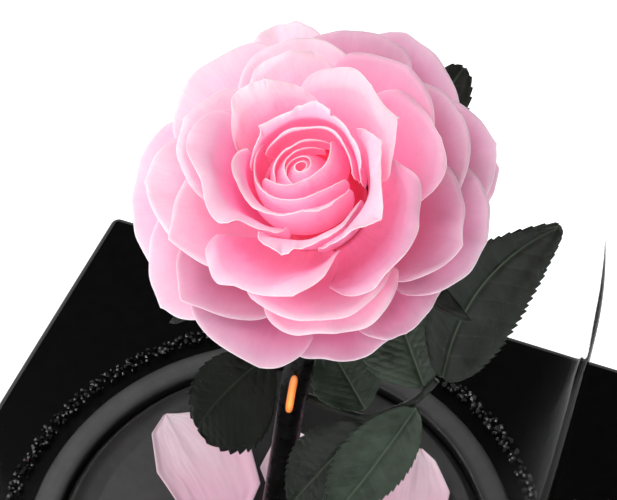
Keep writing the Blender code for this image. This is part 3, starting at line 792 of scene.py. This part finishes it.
def leaf_relief(across, along, off, veins, seed):
    """Height in millimetres of a leaf's skin: puffed between its veins, and sunk at the midrib."""
    ribs = np.abs(np.sin(np.pi * veins))
    fade = smooth_step(off / 1.2) * (1.0 - 0.5 * np.abs(across) ** 3)
    uneven = 0.6 + 0.5 * ripple(along, across, seed + 11, 3, 1.0, 3.0)
    relief = 0.22 * uneven * ribs**0.8 * fade - 0.5 * np.exp(-((off / 0.7) ** 2))
    relief += 1.3 * across**2 * ripple(across, along, seed, 4, 0.5, 2.0) * smooth_step(along / 0.2)
    return relief + 0.10 * ripple(along * 20, across * 8, seed + 7, 6, 0.5, 1.8)


def vein_marks(across, off, veins, spacing):
    """How much a leaf's skin is vein, from 0 to 1: its midrib, and fainter side veins."""
    midrib = 0.85 * np.exp(-((off / MIDRIB_WIDTH) ** 2))
    beside = np.exp(-((np.abs(veins - np.round(veins)) * spacing / SIDE_VEIN_WIDTH) ** 2))
    return np.maximum(midrib, 0.14 * beside * (1.0 - np.abs(across) ** 2))


def add_leaf(row, looks, seed):
    """A leaf with toothed edges, and with its own short stalk where it has one."""
    across, along, centre, out, width, ahead, normal, length = leaf_grid(row, *LEAF_GRID)
    teeth = along * length / LEAF_TOOTH
    saw = teeth - np.floor(teeth)
    margin = np.abs(across) ** 10 * smooth_step(along / 0.12)
    points = centre + out * (width * (1.0 + 0.085 * (saw - 0.4) * margin))[..., None]
    points += ahead * (0.7 * saw * margin)[..., None]
    off = np.abs(across) * width
    spacing = length / SIDE_VEINS
    veins = (along * length - off * 0.75) / spacing
    points += normal * leaf_relief(across, along, off, veins, seed)[..., None]
    marks = vein_marks(across, off, veins, spacing)
    thick = np.full(across.shape, LEAF_THICK)
    if row[0] in LEAF_ROOTS:
        share = np.linspace(0.0, 1.0, ROOT_ROWS + 1)[:-1, None, None]
        to_root = np.array(LEAF_ROOTS[row[0]]) - points[0].mean(axis=0)
        stalk = points[:1] + to_root * (1.0 - share) - normal * 1.5 * np.sin(np.pi * share)
        points = np.concatenate((stalk, points))
        marks = np.pad(marks, ((ROOT_ROWS, 0), (0, 0)), mode="edge")
        stout = LEAF_THICK + 0.6 * (1.0 - share[..., 0]) * np.ones(across.shape[1])
        thick = np.concatenate((stout, thick))
    shell(row[0], points * MM, thick * MM, looks, marks=marks)


def add_leaves():
    """The seven leaves. Returns the look that calyx and leaf_stalk share with them."""
    leaf = leaf_look("leaf_skin", srgb(12, 16, 12), srgb(30, 36, 30), srgb(84, 94, 80))
    dark = leaf_look("leaf_dark", srgb(3, 5, 3), srgb(12, 16, 10), srgb(50, 56, 46), 0.08)
    pale = leaf_look("leaf_pale", srgb(30, 40, 31), srgb(56, 68, 56), srgb(92, 104, 90))
    looks = {"left_leaf": dark, "middle_leaf": pale, "behind_leaf": pale, "lower_right_leaf": pale}
    for seed, row in enumerate(LEAVES):
        add_leaf(row, (looks.get(row[0], leaf),), LEAF_SEED + seed)
    return leaf


def add_fallen(row, looks, seed):
    """A loose petal, lightly cupped, its rim curling, with nearly straight edges between corners."""
    across, along, centre, out, width, _, normal, _ = leaf_grid(row, *FALLEN_GRID, FALLEN_SOFT)
    steps = along[:, 0]
    corners = [np.interp(FALLEN_CORNERS, steps, line) for line in width.T]
    width = np.stack([np.interp(steps, FALLEN_CORNERS, line) for line in corners], axis=1)
    points = centre + out * width[..., None]
    rim = np.maximum(smooth_step((np.abs(across) - 0.75) / 0.25), smooth_step((along - 0.85) / 0.15))
    rise = 0.7 * rim * ripple(across, along, seed, 4, 1.0, 3.0) + 0.5 * rim
    rise += 0.35 * ripple(across, along, seed + 3, 4, 0.6, 2.0)
    points += normal * np.maximum(rise, -0.2)[..., None]
    thick = 0.42 - 0.2 * rim
    shell(row[0], points * MM, thick * MM, looks)


def add_fallen_petals():
    """The three loose petals, paler than those of the flower: painted light for petals lying flat in the
    light.
    """
    stops = (
        (0.0, srgb(240, 176, 198)), (0.5, srgb(244, 194, 210)), (1.0, srgb(250, 216, 227)),
    )
    fallen = petal_look("petal_fallen", stops, 0.05, relief=0.08)
    for seed, row in enumerate(FALLEN):
        add_fallen(row, (fallen,), FALLEN_SEED + seed)


def smooth_path(points, count):
    """A smooth line through points, as a Catmull-Rom curve."""
    knots = np.array(points, float)
    knots = np.concatenate((2 * knots[:1] - knots[1:2], knots, 2 * knots[-1:] - knots[-2:-1]))
    places = np.linspace(0, len(points) - 1, count)
    spans = np.minimum(places.astype(int), len(points) - 2)
    t = (places - spans)[:, None]
    a, b, c, d = (knots[spans + k] for k in range(4))
    return 0.5 * (
        2 * b + (c - a) * t + (2 * a - 5 * b + 4 * c - d) * t**2 + (3 * b - a - 3 * c + d) * t**3
    )


def tube(name, points, radii, look, sides=32):
    """A round bar with closed ends along a line in millimetres, as thick as given at each point."""
    ahead = unit(np.gradient(points, axis=0))
    right = unit(np.cross(ahead, np.array((0.0, 1.0, 0.1))))
    up = np.cross(right, ahead)
    angles = np.linspace(0, 2 * math.pi, sides, endpoint=False)
    ring = np.cos(angles)[None, :, None] * right[:, None] + np.sin(angles)[None, :, None] * up[:, None]
    skin = points[:, None] + ring * radii[:, None, None]
    count = len(points)
    vertices = np.concatenate((skin.reshape(-1, 3), points[:1], points[-1:])) * MM
    quads, index, after = ring_faces(count, sides)
    faces = quads.tolist()
    first, last = count * sides, count * sides + 1
    faces += [[first, a, b] for a, b in zip(index[0].tolist(), after[0].tolist())]
    faces += [[last, b, a] for a, b in zip(index[-1].tolist(), after[-1].tolist())]
    piece = mesh_piece(name, vertices.tolist(), faces, (look,), name)
    heights = np.append(np.repeat(np.linspace(0, 1, count), sides), (0.0, 1.0))
    set_map(piece.data, np.stack((np.zeros(len(heights)), heights), axis=-1))


def add_stem():
    """The black stem, and the collar that it stands in."""
    black = plastic_look("stem_gloss", srgb(5, 4, 4), 0.28, 0.1)
    line = smooth_path(STEM_POINTS, STEM_RINGS)
    tube("stem", line, np.full(STEM_RINGS, STEM_RADIUS), black)
    turned("stem_collar", rounded(COLLAR_PROFILE, 0.6), black, 96)


def add_stalk(look):
    """The stalk of the right-hand leaves, thinner towards its tip."""
    line = smooth_path(STALK_POINTS, STALK_RINGS)
    radii = STALK_RADIUS * np.linspace(*STALK_TAPER, STALK_RINGS)
    tube("leaf_stalk", line, radii, look, 20)


def add_lamp():
    """The small lit bar in front of the stem, with rounded ends."""
    line = smooth_path(LAMP_POINTS, LAMP_RINGS)
    taper = np.sqrt(np.clip(1.0 - np.linspace(-1.0, 1.0, LAMP_RINGS) ** 8, 0.05, 1.0))
    tube("stem_lamp", line, taper * LAMP_RADIUS, lamp_look(), 20)


def rounded(profile, size, steps=5, ends=True):
    """A profile with its corners rounded off by about size."""
    points = [Vector(p) for p in profile]
    count = len(points)
    made = []
    for k, here in enumerate(points):
        if not ends and k in (0, count - 1):
            made.append(here)
            continue
        before, after = points[k - 1] - here, points[(k + 1) % count] - here
        reach = min(size, before.length / 2.2, after.length / 2.2)
        start, stop = here + before.normalized() * reach, here + after.normalized() * reach
        for step in range(steps + 1):
            t = step / steps
            made.append((1 - t) ** 2 * start + 2 * t * (1 - t) * here + t**2 * stop)
    return made


def turned(name, profile, look, steps=192):
    """A profile in millimetres above the base, turned about the vertical axis."""
    closed = profile[0][0] > 0.0
    mesh = bpy.data.meshes.new(name)
    points = [(p[0] * MM, 0.0, p[1] * MM + BASE_HEIGHT) for p in profile]
    edges = [(k, k + 1) for k in range(len(points) - 1)]
    if closed:
        edges.append((len(points) - 1, 0))
    mesh.from_pydata(points, edges, [])
    mesh.materials.append(look)
    piece = bpy.data.objects.new(name, mesh)
    screw = piece.modifiers.new("Screw", "SCREW")
    screw.steps = steps
    screw.render_steps = steps
    screw.use_merge_vertices = True
    screw.merge_threshold = 0.01 * MM
    screw.use_smooth_shade = True
    return placed(piece, name)


def add_base():
    """The slab, with a painted reflection: its rounded upper edge in a paler look."""
    work = bmesh.new()
    bmesh.ops.create_cube(work, size=1.0)
    for vertex in work.verts:
        vertex.co.x *= BASE_SIDE
        vertex.co.y *= BASE_SIDE
        vertex.co.z = (vertex.co.z + 0.5) * BASE_HEIGHT
    upright = [e for e in work.edges if abs(e.verts[0].co.z - e.verts[1].co.z) > BASE_HEIGHT / 2]
    bmesh.ops.bevel(work, geom=upright, offset=BASE_CORNER, segments=12, affect="EDGES", profile=0.5)
    top = [e for e in work.edges if min(v.co.z for v in e.verts) > BASE_HEIGHT * 0.99]
    bmesh.ops.bevel(work, geom=top, offset=BASE_EDGE, segments=8, affect="EDGES", profile=0.5)
    # Faces that look partly up belong to the rounded edge, which gets the paler look, a painted
    # reflection
    for face in work.faces:
        face.material_index = int(0.05 < face.normal.z < 0.999)
    mesh = bpy.data.meshes.new("square_base")
    work.to_mesh(mesh)
    work.free()
    mesh.shade_smooth()
    edge = plastic_look("base_edge_painted_reflection", grey(62), 0.4, 0.2)
    mesh.materials.append(plastic_look("base_plastic", grey(3), 0.4, 0.05))
    mesh.materials.append(edge)
    base = bpy.data.objects.new("base_shell", mesh)
    placed(base, "square_base")
    weights = base.modifiers.new("Normals", "WEIGHTED_NORMAL")
    weights.weight = 100
    weights.keep_sharp = True


def add_tray_and_ring():
    """The dished tray in the middle of the base, and the grey ring round it."""
    tray = plastic_look("tray_plastic", grey(58), 0.38, painted_shades=TRAY_PAINTED_SHADE)
    turned("round_tray", rounded(TRAY_PROFILE, 0.6, ends=False), tray)
    ring = plastic_look("ring_plastic", grey(68), 0.42, painted_shades=RING_PAINTED_SHADE)
    turned("light_ring", rounded(RING_PROFILE, 1.0), ring)


def add_crystals():
    """The glittering ring: faceted crystals in uneven rows."""
    rng = np.random.default_rng(CRYSTAL_SEED)
    work = bmesh.new()
    for radius, count in CRYSTAL_ROWS:
        for k in range(count):
            angle = (k + rng.uniform(-CRYSTAL_SHIFT, CRYSTAL_SHIFT)) / count * 2 * math.pi
            size = rng.uniform(*CRYSTAL_SIZES)
            reach = radius + rng.uniform(-CRYSTAL_STRAY, CRYSTAL_STRAY)
            reach = np.clip(reach, CRYSTALS_INNER + size, CRYSTALS_OUTER - size)
            height = size + rng.uniform(*CRYSTAL_GAPS)
            place = Vector((reach * math.cos(angle), reach * math.sin(angle), height)) * MM
            place.z += BASE_HEIGHT
            spin = Euler(rng.uniform(0, 2 * math.pi, 3).tolist()).to_matrix().to_4x4()
            bmesh.ops.create_icosphere(
                work, subdivisions=1, radius=size * MM, matrix=Matrix.Translation(place) @ spin
            )
    mesh = bpy.data.meshes.new("sparkle_crystals")
    work.to_mesh(mesh)
    work.free()
    mesh.materials.append(crystal_look())
    placed(bpy.data.objects.new("sparkle_crystals", mesh), "sparkle_ring")


def dome_profile(arc_steps=40, wall_steps=12):
    """The wall of the dome, from the top down the outside, round the foot and up the inside."""
    centre = DOME_HEIGHT - DOME_OUTER
    skins = []
    for radius in (DOME_OUTER, DOME_OUTER - DOME_WALL):
        angles = [math.pi / 2 * (1.0 - step / arc_steps) for step in range(arc_steps + 1)]
        skin = [(radius * math.cos(a), centre + radius * math.sin(a)) for a in angles]
        skin[0] = (0.0, centre + radius)
        rings = [step / wall_steps for step in range(1, wall_steps + 1)]
        skins.append(skin + [(radius, centre + (DOME_FOOT - centre) * ring) for ring in rings])
    half = DOME_WALL / 2
    middle = DOME_OUTER - half
    turns = [math.pi * step / 8 for step in range(1, 8)]
    round_foot = [(middle + half * math.cos(a), DOME_FOOT - half * math.sin(a)) for a in turns]
    return skins[0] + round_foot + skins[1][::-1]


def add_dome():
    """The clear cover, which casts no shadow and isn't seen in soft reflections."""
    dome = turned("glass_dome", dome_profile(), glass_look(), 128)
    dome.visible_shadow = False
    dome.visible_diffuse = False


def add_calyx(look):
    """Five toothless sepals in a star, thin and slightly crinkled."""
    rings, spokes = CALYX_GRID
    angles = np.linspace(-np.pi, np.pi, spokes, endpoint=False)
    reach = np.full(spokes, CALYX_DISC)
    for azimuth, length in SEPALS:
        off = (np.degrees(angles) - azimuth + 180.0) % 360.0 - 180.0
        arm = np.maximum(1.0 - np.abs(off) / SEPAL_HALF, 0.0)
        reach = np.maximum(reach, CALYX_DISC + (length - CALYX_DISC) * arm**1.6)
    shares = np.linspace(0.02, 1.0, rings)[:, None]
    radius = reach[None] * shares
    height = 0.9 - 0.0028 * np.maximum(radius - 8.0, 0.0) ** 2
    crinkle = np.sin(radius * 1.3 + 3.0 * np.cos(5 * angles)[None])
    height += 0.25 * crinkle * smooth_step(radius / 30)
    sheet = np.stack((radius * np.cos(angles), radius * np.sin(angles), height), axis=-1)
    down = np.array((0.0, 0.0, CALYX_THICK))
    lower = sheet - down
    upper = sheet + down * np.linspace(1.0, -0.2, rings)[:, None, None]
    vertices = in_head(np.concatenate((upper.reshape(-1, 3), lower.reshape(-1, 3))))
    quads, index, after = ring_faces(rings, spokes)
    total = rings * spokes
    rim = np.stack((index[-1], index[-1] + total, after[-1] + total, after[-1]), axis=-1)
    hub = index[0].tolist()
    faces = quads.tolist() + (quads[:, ::-1] + total).tolist() + rim.tolist()
    faces += [hub, [k + total for k in hub[::-1]]]
    piece = mesh_piece("calyx_star", vertices.tolist(), faces, (look,), "calyx")
    piece.data.attributes.new("vein", "FLOAT", "POINT")


def add_heart():
    """The deep pink skin of the heart, which keeps the shape of its solid."""
    skin = petal_look("heart_skin", ((0.0, srgb(225, 70, 105)), (1.0, srgb(235, 100, 130))))
    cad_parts["flower_heart"].data.materials.clear()
    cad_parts["flower_heart"].data.materials.append(skin)


def add_stage():
    """A plain pale floor."""
    bpy.ops.mesh.primitive_plane_add(size=FLOOR_SIZE, location=(0.0, 0.0, 0.0))
    floor = bpy.context.object
    floor.name = "floor"
    look = Look("pale_floor", 0.8, Emission_Color=WHITE, Emission_Strength=FLOOR_GLOW)
    spots = look.noise(look.coordinates(), 40.0, 2.0)
    look.link(look.ramp(spots, ((0.3, level(0.90)), (0.7, level(0.92)))), "Base Color")
    floor.data.materials.append(look.material)


def add_light(name, place, energy, color=(1.0, 1.0, 1.0), shadow=True):
    """A square light that shines at the flower."""
    data = bpy.data.lights.new(name, "AREA")
    data.use_shadow = shadow
    data.energy = energy
    data.size = LIGHT_SIZE
    data.color = color
    light = bpy.data.objects.new(name, data)
    light.location = place
    aim = Vector(LIGHTS_AIM) - Vector(place)
    light.rotation_euler = aim.to_track_quat("-Z", "Y").to_euler()
    bpy.context.scene.collection.objects.link(light)


def add_lights():
    """A key light from the upper left, a soft low fill from the front, and a pale surrounding."""
    world = bpy.data.worlds.new("studio")
    world.use_nodes = True
    background = world.node_tree.nodes["Background"]
    background.inputs["Color"].default_value = WHITE
    background.inputs["Strength"].default_value = WORLD_STRENGTH
    bpy.context.scene.world = world
    add_light("key", (-0.75, 0.05, 0.9), energy=5.2, color=(1.0, 0.99, 0.98))
    add_light("fill", (0.0, -0.70, 0.60), energy=5.4, shadow=False)


def add_camera():
    """The camera, turned about its target and rolled slightly."""
    data = bpy.data.cameras.new("camera")
    data.lens = CAMERA_LENS
    data.sensor_width = CAMERA_SENSOR
    data.clip_start, data.clip_end = CAMERA_CLIP
    camera = bpy.data.objects.new("camera", data)
    bpy.context.scene.collection.objects.link(camera)
    flat = math.cos(CAMERA_ELEVATION)
    back = Vector((
        math.sin(CAMERA_AZIMUTH) * flat,
        -math.cos(CAMERA_AZIMUTH) * flat,
        math.sin(CAMERA_ELEVATION),
    ))
    camera.location = CAMERA_TARGET + back * CAMERA_DISTANCE
    turn = (-back).to_track_quat("-Z", "Y") @ Quaternion((0.0, 0.0, 1.0), CAMERA_ROLL)
    camera.rotation_euler = turn.to_euler()
    bpy.context.scene.camera = camera


def main():
    add_petals()
    leaf = add_leaves()
    add_calyx(leaf)
    add_fallen_petals()
    add_stem()
    add_stalk(leaf)
    add_lamp()
    add_base()
    add_tray_and_ring()
    add_crystals()
    add_dome()
    add_heart()
    add_stage()
    add_lights()
    add_camera()


main()
bpy.context.scene.view_settings.view_transform = "Standard"
